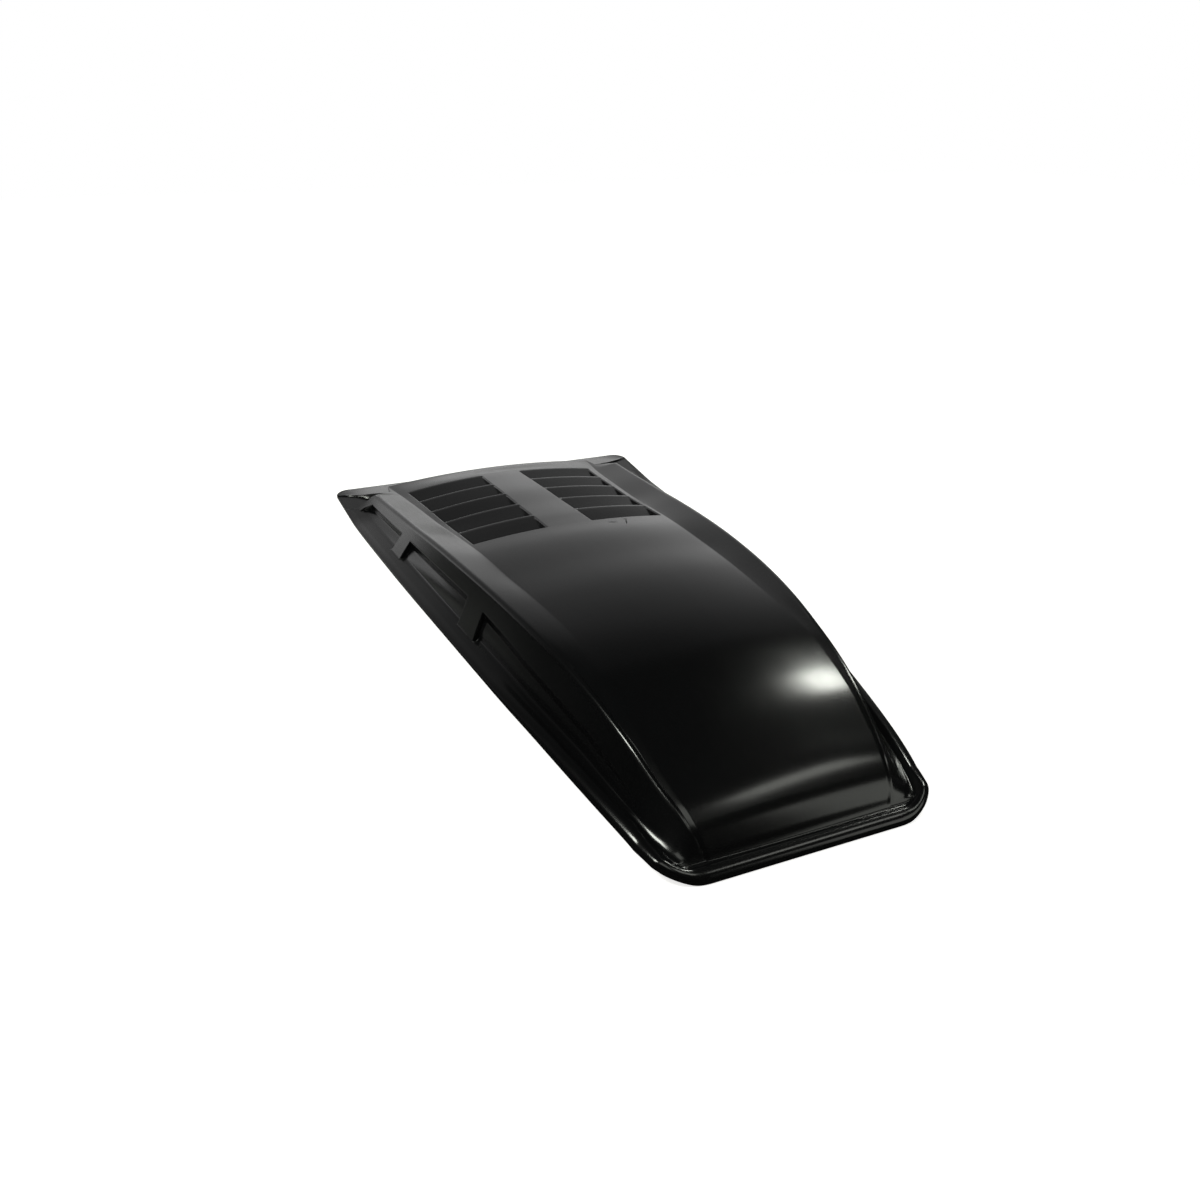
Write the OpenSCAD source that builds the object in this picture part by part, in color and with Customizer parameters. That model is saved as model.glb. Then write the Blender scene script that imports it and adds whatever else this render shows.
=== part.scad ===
// Bonnet scoop, moulded as one thin skin with an open underside.
// The front is at -Y, the rear at +Y, and the rims of both ends stand on z = 0.

/* [Overall] */
// Length from the front rim to the rear edge
body_len = 917; // [760:1:1100]
// Width across the rear tips
rear_w = 459; // [420:1:520]
// Width across the front, measured where the straight sides would meet the front rim
front_w = 236; // [225:1:260]
// Height of the valleys beside the dome at its highest place
dome_h = 92; // [70:1:115]
// Thickness of the moulded skin
wall = 3; // [2:0.1:4]

/* [Flange] */
// Width of the flange from its outer edge to the foot of the side walls
flange_w = 23; // [20:0.5:28]
// Depth of the turned-down lip along the outer edge
lip_h = 3.5; // [3:0.1:8]
// Rise of the flange at mid-length, which follows the curve of the bonnet
arch_h = 23.5; // [10:0.5:40]
// Height of the rounded rim at the front, above the lip
rim_h = 5.5; // [3:0.1:9]
// Width of the rounded flank of the rim along the sides
rim_w = 10; // [7:0.5:14]
// Width of the rounded flank of the rim across the front
rim_front_w = 7; // [5:0.5:10]
// Radius of the front corners in plan, measured along the length
front_corner_r = 23; // [15:1:30]
// Radius of the rear tips in plan
rear_corner_r = 22; // [10:1:30]

/* [Top panel] */
// Width between the two valleys at the rear end of the panel
valley_rear_w = 311; // [290:1:325]
// Width between the two valleys at the front rim
valley_front_w = 148; // [130:1:156]
// Crown of the panel above its valleys at the rear
crown_h = 13.6; // [4:0.2:20]
// Distance from the rear edge to the rear end of the panel
panel_end = 35; // [28:1:50]

/* [Shoulder rails] */
// Width of a rail at its rear end, from valley to ridge
rail_rear_w = 27; // [20:0.5:34]
// Width of a rail at the front rim
rail_front_w = 6; // [5:0.5:12]
// Height of a rail's ridge above the valley inside it
rail_h = 7.5; // [3:0.1:12]
// Radius that rounds the ridge
ridge_r = 4.5; // [3:0.5:7]
// Distance from the rear edge to the rear ends of the ridges
rail_end = 91.5; // [80:0.5:110]

/* [Side pockets] */
// Share of the way from the ridge to the foot of the wall that the eave above the pockets takes up
eave_share = 0.53; // [0.4:0.01:0.62]
// Depth of the step under the eave
step_h = 7; // [4:0.5:10]
// How far the struts' feet reach out over the flange
foot_reach = 6; // [3:0.5:9]
// Front end of the long front pocket, from the front rim
tip_at = 57; // [40:1:70]
// Front face of the front strut, from the front rim
strut_a_at = 366; // [330:1:385]
// Front face of the middle strut, from the front rim
strut_b_at = 615; // [580:1:625]
// Front face of the rear strut under the eave, from the front rim
strut_c_at = 805; // [780:1:808]
// Length of the front strut along the side
strut_a_len = 41; // [20:1:60]
// Length of the middle strut along the side
strut_b_len = 36; // [20:1:60]
// How far the front face of the rear strut sweeps back from the eave to its foot
strut_c_sweep = 17; // [0:1:20]

/* [Louvres] */
// Number of slats in each bank
slats = 5; // [3:1:5]
// Pitch of the slats
slat_pitch = 60; // [45:1:60]
// Front edge of the louvres, from the front rim
louvre_at = 530; // [480:1:540]
// Width of the plain strip between the two banks
bank_gap = 54; // [30:1:80]
// Plain border between the front slat and the valley beside it
border_front = 3; // [2.5:0.5:20]
// Plain border between the rear slat and the valley beside it
border_rear = 10.5; // [2.5:0.5:30]
// Depth of each slot at its front edge
slot_h = 10; // [4:0.5:12]
// Width of the flush land at the rear edge of each slat
land_w = 3; // [2:0.5:6]

/* [Rear wings] */
// Height of the crest of a wing at its inner end
wing_h = 14; // [8:0.5:20]
// How far the crest sweeps back from its inner end to the tip
wing_sweep = 43; // [25:1:50]
// How far the rail is cut back from the rear end of the panel beside it
notch_len = 32; // [20:1:40]

/* [Hidden] */
half_len = body_len / 2;
ridge_front_w = valley_front_w + 2 * rail_front_w;
ridge_rear_w = valley_rear_w + 2 * rail_rear_w;
// Width of the near-upright walls of slots, steps and struts
draft = 1;
step_w = 0.6;
// Fillet where the dome rises out of the front rim, and how far back it fades out
blend_r = 3;
blend_from = 45;
blend_to = 90;
// Dip between the front rim and the dome
rim_valley = 2.5;
rim_valley_w = 5;
// Length over which the rim widens behind the front
rim_widen = 60;
// Front corners: how much wider than long the rounding is, and how the flange lifts there
corner_stretch = 1.5;
corner_lift = 6;
corner_lift_w = 26;
lift_from = 18;
lift_to = 42;
// Largest shares of the rail and of the side wall that the rounding of the ridge takes up
round_in = 0.45;
round_out = 0.6;
// Place and height of the hollow beside a valley, as shares of the way to the ridge
hollow_at = 0.25;
hollow_rise = 0.21;
// Places on the flank of the rim, from its crest to just inside the edge
bead_shares = [1, 0.55, 0.2];
// Share of the rim's height that is left along the sides
side_rim = 0.35;
// Slope of the flat of the flange
flange_slope = 0.15;
// Distances over which the front pocket and its step grow from nothing at the tip
pocket_grow = 20;
step_grow = 90;
// How far the foot of the wall moves out as the front pocket narrows to its tip, and over which length
tip_shift = 5;
shift_from = 60;
shift_to = 150;
// Rear wings: ends of the crest in from the panel's corner and from the outer edge
crest_in = 6.5;
crest_out = 1.5;
crest_tip_h = 4;
// How closely the rows turn round the corner of the tip
tip_turn = 4;
// Slope of the floor between a wing's crest and the struts, and its steepest rise from the outer edge
floor_slope = 0.08;
edge_slope = 0.8;
// Share of the way across the rail at which its end turns from the panel's corner
notch_share = 0.19;
// Share of the diagonal at which its middle point stands
diagonal_share = 0.55;
// How far the crest starts ahead of the panel's end, and the slope of its front face
crest_ahead = 30;
crest_clear = 2.5;
crest_slope = 1.3;
// How far the rear face of the rear strut sweeps back from ridge to edge
strut_sweep = 12;

// Each curve below is a list of [share of the length from the front, share of a driving size].
// How far the outer edge has opened from the front width to the rear width
edge_open = [[0, 0.01], [0.05, 0.12], [0.11, 0.227], [0.21, 0.372], [0.31, 0.503], [0.54, 0.725],
    [0.8, 0.902], [1, 1]];
// Rise of the flange along its edge
arch_rise = [[0, 0], [0.012, 0.09], [0.038, 0.4], [0.06, 0.58], [0.1, 0.735], [0.17, 0.885],
    [0.235, 0.98], [0.32, 1.03], [0.48, 0.9], [0.65, 0.53], [0.83, 0.06], [0.87, 0], [1, 0]];
// Height of the valley line
valley_rise = [[0, -0.2], [0.013, 0.02], [0.019, 0.18], [0.027, 0.305], [0.037, 0.39], [0.049, 0.46],
    [0.071, 0.547],
    [0.114, 0.715], [0.158, 0.835], [0.2, 0.91], [0.267, 0.937], [0.354, 0.891], [0.44, 0.805],
    [0.53, 0.715], [0.615, 0.59], [0.7, 0.453], [0.79, 0.337], [0.876, 0.228], [0.96, 0.14], [1, 0.12]];
// Crown of the panel above the valleys
crown_rise = [[0, 0.05], [0.027, 0.18], [0.07, 0.33], [0.16, 0.44], [0.267, 0.48], [0.354, 0.58],
    [0.53, 0.59], [0.58, 0.62], [0.7, 0.92], [0.79, 1], [0.91, 0.95], [0.96, 0.72], [1, 0.66]];
// How far the valleys have opened
valley_open = [[0, -0.05], [0.013, 0.06], [0.027, 0.135], [0.049, 0.196], [0.071, 0.245], [0.114, 0.307],
    [0.18, 0.344], [0.267, 0.36], [0.354, 0.43], [0.44, 0.51], [0.53, 0.568], [0.7, 0.712],
    [0.876, 0.879], [0.96, 1], [1, 1]];
// How far the ridges have opened
ridge_open = [[0, -0.05], [0.013, 0.04], [0.027, 0.096], [0.049, 0.157], [0.071, 0.21], [0.114, 0.291],
    [0.158, 0.355], [0.245, 0.466], [0.332, 0.573], [0.419, 0.66], [0.506, 0.735], [0.637, 0.826],
    [0.767, 0.912], [0.898, 1], [1, 1.04]];
// Height of the ridge over the valley
rail_rise = [[0, -0.2], [0.027, -0.27], [0.07, -0.5], [0.114, -0.63], [0.158, -0.77], [0.2, -0.95],
    [0.267, -0.57], [0.354, -0.08], [0.44, 0.34], [0.53, 0.37], [0.615, 0.63], [0.7, 0.84], [0.81, 0.78],
    [1, 0.7]];
// How far the eave closes in on the foot of the wall towards the tip of the front pocket
eave_fall = [[0, 0], [0.03, 0.5], [0.06, 0.85], [0.068, 0.78], [0.076, 0.64], [0.085, 0.52], [0.1, 0.45],
    [0.14, 0.47], [0.2, 0.48], [0.27, 0.36], [0.36, 0.12], [0.44, 0], [1, 0]];
// Height of the rounded rim, full at the front and low along the sides
rim_rise = [[0, 1], [0.16, 1], [0.34, side_rim], [0.7, side_rim], [0.9, 0.1], [1, 0.1]];

// Curve through the points of a list, smooth at each point
function span_of(list, f, i = 0) =
    (i >= len(list) - 2 || f < list[i + 1][0]) ? i : span_of(list, f, i + 1);
function rate(list, i) =
    let (a = max(0, i - 1), b = min(len(list) - 1, i + 1))
    (list[b][1] - list[a][1]) / (list[b][0] - list[a][0]);
function curve(list, f) =
    let (i = span_of(list, f), w = list[i + 1][0] - list[i][0], t = (f - list[i][0]) / w)
    let (t2 = t * t, t3 = t2 * t)
    (2 * t3 - 3 * t2 + 1) * list[i][1] + (t3 - 2 * t2 + t) * w * rate(list, i)
        + (3 * t2 - 2 * t3) * list[i + 1][1] + (t3 - t2) * w * rate(list, i + 1);
function mix(a, b, t) = a + (b - a) * t;
function clamp(v, low, high) = min(high, max(low, v));
// The larger of two heights, with a fillet where they meet
function blend(a, b, r) = max(a, b) + (r > 0 ? pow(max(r - abs(a - b), 0), 2) / (4 * r) : 0);

// Half-widths and heights of the feature lines at distance u from the front
function edge_line(u) = mix(front_w, rear_w, curve(edge_open, u / body_len)) / 2;
function edge_x(u) =
    let (v = max(1 - u / front_corner_r, 0))
    edge_line(u) - front_corner_r * corner_stretch * (1 - sqrt(1 - v * v));
function smooth(t) = let (s = clamp(t, 0, 1)) s * s * (3 - 2 * s);
function edge_z(x, u) =
    let (near = smooth(1 - (edge_line(u) - x) / corner_lift_w))
    lip_h + arch_h * max(curve(arch_rise, u / body_len), 0)
        + corner_lift * near * clamp((lift_to - u) / (lift_to - lift_from), 0, 1);
function valley_x(u) = mix(valley_front_w, valley_rear_w, curve(valley_open, u / body_len)) / 2;
function valley_z(u) = dome_h * curve(valley_rise, u / body_len);
function crown(u) = crown_h * curve(crown_rise, u / body_len);
function ridge_x(u) = mix(ridge_front_w, ridge_rear_w, curve(ridge_open, u / body_len)) / 2;
function ridge_z(u) = valley_z(u) + rail_h * curve(rail_rise, u / body_len);
// Half-width of the rounding of the ridge, and the place where the faces beside it would meet
function ridge_half(u) =
    min(ridge_r, (ridge_x(u) - valley_x(u)) * round_in, (eave_x(u) - ridge_x(u)) * round_out);
function rail_slope(u) = (ridge_z(u) - valley_z(u)) / (ridge_x(u) - valley_x(u));
function side_fall(u) = (ridge_z(u) - foot_z(u)) / (foot_x(u) - ridge_x(u));
function corner_z(u) = ridge_z(u) + ridge_half(u) * (side_fall(u) + rail_slope(u)) / 4;
function squeeze(u) = min(1, (edge_x(u) - ridge_x(u)) / (flange_w + foot_reach));
function foot_x(u) = edge_x(u) - (flange_w - foot_reach) * squeeze(u);
function wall_foot_x(u) =
    edge_x(u) - (flange_w - tip_shift * clamp((shift_to - u) / (shift_to - shift_from), 0, 1)) * squeeze(u);
function eave_x(u) =
    mix(ridge_x(u), wall_foot_x(u), mix(eave_share, 1, curve(eave_fall, u / body_len)));
function eave_z(u) = slope_z(eave_x(u), u);
function tip_share(u) = clamp((u - tip_at) / pocket_grow, 0, 1);
function step_x(u) =
    let (room = wall_foot_x(u) - eave_x(u))
    eave_x(u) + mix(room / 3, min(step_w, room / 5), tip_share(u));

// Distance of a place from the outer edge, measured inwards
function edge_gap(x, u) =
    let (side = edge_line(u) - x, end = min(u, body_len - u))
    let (r = u < half_len ? front_corner_r : rear_corner_r, s = u < half_len ? corner_stretch : 1)
    let (a = r - end, b = r * s - side, k = norm([a, b / s]) / r)
    (a > 0 && b > 0) ? norm([a, b]) * (1 / k - 1) : min(side, end);
function rim_at(u) = mix(rim_front_w, rim_w, clamp(u / rim_widen, 0, 1));
// Flange with its rounded rim: behind the rim it dips at the front and slopes up along the sides
function flange_z(x, u) =
    let (d = max(edge_gap(x, u), 0), share = curve(rim_rise, u / body_len))
    let (w = rim_at(u), t = min(d / w, 1), in = clamp(d - w, 0, flange_w - w))
    let (dip = rim_valley * (1 - cos(180 * min(in / rim_valley_w, 1))) / 2)
    edge_z(x, u) + rim_h * share * sqrt(1 - (1 - t) * (1 - t))
        + mix(flange_slope * in, -dip, clamp((share - side_rim) / (1 - side_rim), 0, 1));
function foot_z(u) = flange_z(foot_x(u), u);

// Openings in the row of struts: 1 in a pocket, 0 on a strut, with a steep change between
function gate(u, from, to) =
    clamp(min(u - from, to - u) / draft + 0.5, 0, 1);
function wall_at(a) =
    let (n = clamp(round((a - louvre_at) / slat_pitch), 0, slats), near = louvre_at + n * slat_pitch)
    abs(a - near) < wall ? near + draft / 2 : a;
walls = [for (a = [strut_a_at, strut_a_at + strut_a_len, strut_b_at, strut_b_at + strut_b_len, strut_c_at])
    wall_at(a)];
function pocket_at(u) =
    max(min(tip_share(u), gate(u, tip_at, walls[0])), gate(u, walls[1], walls[2]),
        gate(u, walls[3], walls[4]));
function step_at(u) = step_h * pocket_at(u) * clamp((u - tip_at) / step_grow, 0, 1);
// The rear strut's front face sweeps back below the eave, so the rows there lean back with it
lean_from = walls[3];
lean_shares = [0.45, 0.8, 1];
function lean(j, u) =
    j <= eave_col + 1 ? 0
    : strut_c_sweep * lean_shares[min(j - eave_col - 2, 2)]
        * pow(clamp((u - lean_from) / (walls[4] - lean_from), 0, 1), 2);

// Depth of the louvres at distance u: deep just behind each slot's front edge, flush at its rear
function slot_dip(u) =
    let (v = u - louvre_at, n = floor(v / slat_pitch), w = v - n * slat_pitch)
    (v <= 0 || n >= slats) ? 0 :
        w <= draft ? slot_h * w / draft
        : w >= slat_pitch - land_w ? 0
        : slot_h * (slat_pitch - land_w - w) / (slat_pitch - land_w - draft);
function bank_x(u) =
    let (t = (u - louvre_at) / (slats * slat_pitch))
    valley_x(u) - mix(border_front, border_rear, clamp(t, 0, 1));

// Top panel, crowned between its valleys
function panel_z(x, u) =
    let (t = x / valley_x(u))
    valley_z(u) + crown(u) * (1 - t * t);
// Slope from the ridge to the struts' feet
function slope_z(x, u) =
    let (rx = ridge_x(u), fx = foot_x(u))
    mix(corner_z(u), foot_z(u), (x - rx) / (fx - rx));
// Wing behind the rear strut: a crest that sweeps back to the tip, with a sloping strip behind it
crest_from = valley_rear_w / 2 + crest_in;
crest_to = rear_w / 2 - crest_out;
function crest_share(x) = clamp((x - crest_from) / (crest_to - crest_from), 0, 1);
function crest_z(x) = mix(wing_h, crest_tip_h, crest_share(x));
function crest_u(x) =
    min(body_len - panel_end - crest_ahead + wing_sweep * crest_share(x), body_len - rear_corner_r - draft);
function wing_z(x, u) =
    let (h = crest_z(x), c = crest_u(x))
    min(mix(lip_h, h, (body_len - u) / (body_len - c)), h - crest_slope * (c - u));
function rear_z(x, u) =
    let (d = max(edge_gap(x, u), 0))
    lip_h + min(max(wing_z(x, u) - lip_h, floor_slope * min(d, flange_w)), edge_slope * d);

// Half of a cross-section at distance u, as [x, z] from the middle to the outer edge; g is the
// distance that decides between pocket and strut
function section(u, g) =
    let (vx = valley_x(u), vz = valley_z(u), rx = ridge_x(u), rz = ridge_z(u))
    let (ex = eave_x(u), ez = eave_z(u), fx = foot_x(u), wx = wall_foot_x(u), gx = edge_x(u))
    let (bx = bank_x(u), dip = slot_dip(u), in_x = bank_gap / 2, bead = rim_at(u) * squeeze(u))
    let (r = ridge_half(u), cz = corner_z(u), up = (cz - vz) / (rx - vx))
    let (in_pocket = pocket_at(g), step = step_at(g), sx = step_x(u), mid_x = (sx + wx) / 2)
    [
        [0, panel_z(0, u)],
        [in_x, panel_z(in_x, u)],
        [in_x + draft, panel_z(in_x + draft, u) - dip],
        [(in_x + bx) / 2, panel_z((in_x + bx) / 2, u) - dip],
        [bx - draft, panel_z(bx - draft, u) - dip],
        [bx, panel_z(bx, u)],
        [vx, vz],
        [mix(vx, rx, hollow_at), mix(vz, rz, hollow_rise)],
        [rx - r, cz - r * up],
        [rx, rz],
        [rx + r, slope_z(rx + r, u)],
        [ex, ez],
        [sx, mix(slope_z(sx, u), ez - step, in_pocket)],
        [mid_x, mix(slope_z(mid_x, u), mix(ez - step, flange_z(wx, u), 0.5), in_pocket)],
        [wx, mix(slope_z(wx, u), flange_z(wx, u), in_pocket)],
        [fx, flange_z(fx, u)],
        for (share = bead_shares) [gx - share * bead, flange_z(gx - share * bead, u)],
        [gx, edge_z(gx, u)]
    ];

// Columns of a half-row that stand on the valley, ridge, eave and outer edge
valley_col = 6;
ridge_col = 9;
eave_col = 11;
last_col = 19;
// One row of points across the right half, with the dome filleted into the rim near the front
function row_point(j, u, g) =
    let (p = section(u, g)[j], fade = clamp((blend_to - u) / (blend_to - blend_from), 0, 1))
    let (form = j <= ridge_col ? p[1] : min(p[1], corner_z(u), slope_z(p[0], u)))
    [p[0], u - half_len, blend(form, flange_z(p[0], u), blend_r * fade)];
function half_row(u) = [for (j = [0 : last_col]) row_point(j, u + lean(j, u), u)];

// Rear rows: the first follows the ends of panel, rail and strut, the last the rear edge
end_u = body_len - panel_end;
rail_u = body_len - rail_end;
end_row = section(end_u, end_u);
rail_row = section(rail_u, rail_u);
// The diagonal end of the rail, from the corner beside the panel to the ridge
notch_u = end_u - notch_len;
notch_row = section(notch_u, notch_u);
notch = [mix(notch_row[valley_col], notch_row[ridge_col], notch_share), notch_u];
function diagonal(j) =
    let (share = (j - valley_col - 1) * diagonal_share)
    [mix(notch[0], rail_row[ridge_col], share), mix(notch_u, rail_u, share)];
function cut_x(j) =
    j <= valley_col ? end_row[j][0] : j < ridge_col ? diagonal(j)[0][0] : rail_row[j][0];
function cut_z(j) =
    j <= valley_col ? end_row[j][1] : j < ridge_col ? diagonal(j)[0][1] : rail_row[j][1];
function cut_u(j) =
    j <= valley_col ? end_u : j < ridge_col ? diagonal(j)[1]
    : rail_u + strut_sweep * (cut_x(j) - cut_x(ridge_col)) / (cut_x(last_col) - cut_x(ridge_col));
// A louvre row behind the last whole row: it crosses the panel at a, and in the rail and strut it
// lies at a share of the way to their ends
function tail_row(a, share) =
    [for (j = [0 : last_col])
        let (from = tail_from + lean(j, tail_from), u = j <= valley_col ? a : mix(from, cut_u(j), share))
        row_point(j, u, walls[4] + wall)];
// Place along the length of column j in rear row k: end of the panel and rail, foot of that end,
// foot of the crest, crest, then the strip, which turns round the corner of the tip
turns = [0, 0, 0, 0, 25, 55, 90];
strip_shares = [0.4, 0.8, 1];
function rear_u(j, k) =
    let (c = cut_u(j), s = max(crest_u(cut_x(j)), c + crest_clear), from = cut_x(valley_col))
    let (share = clamp((cut_x(j) - from) / (cut_x(last_col) - from), 0, 1))
    k == 0 ? c : k == 1 ? c + draft
        : k == 2 ? max(s - (crest_z(cut_x(j)) - lip_h) / crest_slope, (c + draft + s) / 2)
        : k == 3 ? s
        : mix(mix(s, body_len, strip_shares[k - 4]), body_len - rear_corner_r * (1 - sin(turns[k])),
            pow(share, tip_turn));
function rear_edge_x(k) =
    edge_line(min(rear_u(last_col, k), body_len - rear_corner_r)) - rear_corner_r * (1 - cos(turns[k]));
function rear_row(k) =
    let (from = cut_x(valley_col), out = (rear_edge_x(k) - from) / (cut_x(last_col) - from))
    [for (j = [0 : last_col])
        let (u = rear_u(j, k), foot = k > 0 && j == valley_col + 1 ? draft : 0)
        let (x = j <= valley_col ? cut_x(j) : mix(from, cut_x(j), out) + foot)
        [x, u - half_len, k == 0 ? max(cut_z(j), rear_z(x, u)) : rear_z(x, u)]];

// Rows: at shares of the rim's width, at shares of the length behind it, and where the form turns
rim_rows = [for (share = [0, 0.12, 0.33, 0.64, 1, 1.35, 1.7]) share * rim_front_w];
dome_rows = [for (share = [0.0153, 0.018, 0.0215, 0.0273, 0.036, 0.047, 0.058, 0.07, 0.085, 0.1036, 0.123,
    0.144, 0.169, 0.1985, 0.231, 0.265, 0.3, 0.335, 0.3686]) share * body_len];
near_rows = concat(rim_rows, dome_rows);
steep_rows = concat([for (a = walls) each [a - draft / 2, a + draft / 2]],
    [for (i = [0 : slats - 1]) each [louvre_at + i * slat_pitch, louvre_at + i * slat_pitch + draft]]);
soft_rows = concat(near_rows,
    [for (i = [1 : 4]) mix(strut_a_at + strut_a_len, louvre_at, i / 5)],
    [for (i = [0 : slats - 1]) each [louvre_at + (i + 0.5) * slat_pitch,
        louvre_at + (i + 1) * slat_pitch - land_w]],
    [louvre_at + slats * slat_pitch]);
function gap_to(list, a) = min([for (b = list) abs(a - b)]);
function sorted(v) =
    len(v) < 2 ? v : let (p = v[floor(len(v) / 2)])
    concat(sorted([for (a = v) if (a < p) a]), [p], sorted([for (a = v) if (a > p) a]));
clear_rows = [for (a = soft_rows) if (gap_to(steep_rows, a) > wall - 0.1) a];
all_rows = sorted(concat(steep_rows, clear_rows));
body_rows = [for (a = all_rows) if (a < rail_u - wall) a];
tail_from = body_rows[len(body_rows) - 1];
tail_rows = [for (a = all_rows) if (a >= rail_u - wall && a < end_u - wall) a];
half_rows = concat([for (u = body_rows) half_row(u)],
    [for (i = [0 : 1 : len(tail_rows) - 1]) tail_row(tail_rows[i], (i + 1) / (len(tail_rows) + 1))],
    [for (k = [0 : len(turns) - 1]) rear_row(k)]);
// Whole rows, from the left edge to the right edge
outer = [for (row = half_rows)
    [for (j = [-last_col : last_col]) let (p = row[abs(j)]) [j < 0 ? -p[0] : p[0], p[1], p[2]]]];
rows = len(outer);
cols = 2 * last_col + 1;

// Inner face: each point moved in by the wall, square to the faces that meet there
function unit(v) = v / max(norm(v), 0.000001);
function cell_way(i, j) =
    (i < 0 || j < 0 || i > rows - 2 || j > cols - 2) ? [0, 0, 0]
    : unit(cross(outer[i + 1][j + 1] - outer[i][j], outer[i + 1][j] - outer[i][j + 1]));
function face_way(i, j) =
    unit(cell_way(i - 1, j - 1) + cell_way(i - 1, j) + cell_way(i, j - 1) + cell_way(i, j));
inner = [for (i = [0 : rows - 1]) [for (j = [0 : cols - 1]) outer[i][j] - wall * face_way(i, j)]];

// Outer edge as one loop of [row, column], anticlockwise from above
loop = concat(
    [for (j = [0 : cols - 1]) [0, j]],
    [for (i = [1 : rows - 1]) [i, cols - 1]],
    [for (j = [cols - 2 : -1 : 0]) [rows - 1, j]],
    [for (i = [rows - 2 : -1 : 1]) [i, 0]]);
function low(p) = p[2] - lip_h;
lip_outer = [for (q = loop) let (p = outer[q[0]][q[1]]) [p[0], p[1], low(p)]];
lip_inner = [for (q = loop) let (p = outer[q[0]][q[1]], n = inner[q[0]][q[1]]) [n[0], n[1], low(p)]];

module scoop_shell() {
    size = rows * cols;
    edge = len(loop);
    points = concat([for (row = outer) each row], [for (row = inner) each row], lip_outer, lip_inner);
    function top(i, j) = i * cols + j;
    function under(i, j) = size + top(i, j);
    skins = [for (i = [0 : rows - 2]) for (j = [0 : cols - 2])
        let (a = top(i, j), b = top(i, j + 1), c = top(i + 1, j + 1), d = top(i + 1, j))
        each (j < last_col
            ? [[a, d, b], [b, d, c], [a + size, b + size, d + size], [b + size, c + size, d + size]]
            : [[a, d, c], [a, c, b], [a + size, c + size, d + size], [a + size, b + size, c + size]])];
    lips = [for (e = [0 : edge - 1])
        let (n = (e + 1) % edge, p = loop[e], q = loop[n], o = 2 * size, w = 2 * size + edge)
        each [
            [top(p[0], p[1]), top(q[0], q[1]), o + n], [top(p[0], p[1]), o + n, o + e],
            [o + e, o + n, w + n], [o + e, w + n, w + e],
            [w + e, w + n, under(q[0], q[1])], [w + e, under(q[0], q[1]), under(p[0], p[1])]
        ]];
    color([0.09, 0.09, 0.09])
        polyhedron(points = points, faces = concat(skins, lips), convexity = 12);
}

scoop_shell();
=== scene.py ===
# A bonnet scoop for a pick-up: one thin black moulding, open underneath, that is bonded
# to the bonnet along its flange. Lengths in this file are in millimetres until the mesh is
# made; u is the distance from the front rim, x the distance from the middle, z the height.
import bpy
from math import cos, hypot, pi, radians, sin, sqrt
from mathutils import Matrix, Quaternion, Vector


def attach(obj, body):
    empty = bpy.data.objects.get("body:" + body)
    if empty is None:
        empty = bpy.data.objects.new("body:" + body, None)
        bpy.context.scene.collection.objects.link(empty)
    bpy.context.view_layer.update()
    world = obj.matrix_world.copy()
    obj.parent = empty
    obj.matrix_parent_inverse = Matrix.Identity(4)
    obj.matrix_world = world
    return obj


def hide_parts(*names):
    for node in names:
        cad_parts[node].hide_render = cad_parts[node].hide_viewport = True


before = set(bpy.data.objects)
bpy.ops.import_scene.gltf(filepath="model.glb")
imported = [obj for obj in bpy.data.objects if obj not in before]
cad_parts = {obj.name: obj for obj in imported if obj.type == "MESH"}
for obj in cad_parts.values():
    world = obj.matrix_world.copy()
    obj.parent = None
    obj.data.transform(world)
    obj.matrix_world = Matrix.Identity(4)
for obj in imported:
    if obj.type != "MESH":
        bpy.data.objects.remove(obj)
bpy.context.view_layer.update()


# The camera stands ahead of the scoop and to its left, about a metre away, and looks down
# on it. Its place and lens come from matching the left and right sides in the photograph.
eye = Vector((-0.3616, -0.9236, 0.5148))
view_azimuth, view_elevation = radians(21.88), radians(27.45)
camera_data = bpy.data.cameras.new("camera")
camera_data.sensor_width = 36
camera_data.lens = 28.83
camera_data.clip_start = 0.01
camera = bpy.data.objects.new("camera", camera_data)
camera.location = eye
camera.rotation_euler = (pi / 2 - view_elevation, 0, -view_azimuth)
bpy.context.scene.collection.objects.link(camera)
bpy.context.scene.camera = camera
bpy.context.scene.view_settings.view_transform = "Standard"


# Flange: the flat rim that lies on the bonnet. Its outer edge opens from front to rear and
# arches with the bonnet, a rounded bead runs along it, and a short lip turns down from it.
body_len, rear_w, front_w = 917, 459, 236
half_len = body_len / 2
wall = 3
flange_w, lip_h, arch_h = 23, 3.5, 23.5
rim_h, rim_w, rim_front_w, rim_widen = 5.5, 10, 7, 60
front_corner_r, corner_stretch, rear_corner_r = 23, 1.5, 22
corner_lift, corner_lift_w = 6, 26
lift_from, lift_to = 18, 42
rim_valley, rim_valley_w, side_rim, flange_slope = 2.5, 5, 0.35, 0.15
edge_open = [(0, 0.01), (0.05, 0.12), (0.11, 0.227), (0.21, 0.372), (0.31, 0.503), (0.54, 0.725),
             (0.8, 0.902), (1, 1)]
arch_rise = [(0, 0), (0.012, 0.09), (0.038, 0.4), (0.06, 0.58), (0.1, 0.735), (0.17, 0.885),
             (0.235, 0.98), (0.32, 1.03), (0.48, 0.9), (0.65, 0.53), (0.83, 0.06), (0.87, 0), (1, 0)]
rim_rise = [(0, 1), (0.16, 1), (0.34, side_rim), (0.7, side_rim), (0.9, 0.1), (1, 0.1)]


def clamp(v, low=0.0, high=1.0):
    return min(high, max(low, v))


def mix(a, b, t):
    return a + (b - a) * t


def smooth(t):
    t = clamp(t)
    return t * t * (3 - 2 * t)


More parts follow.
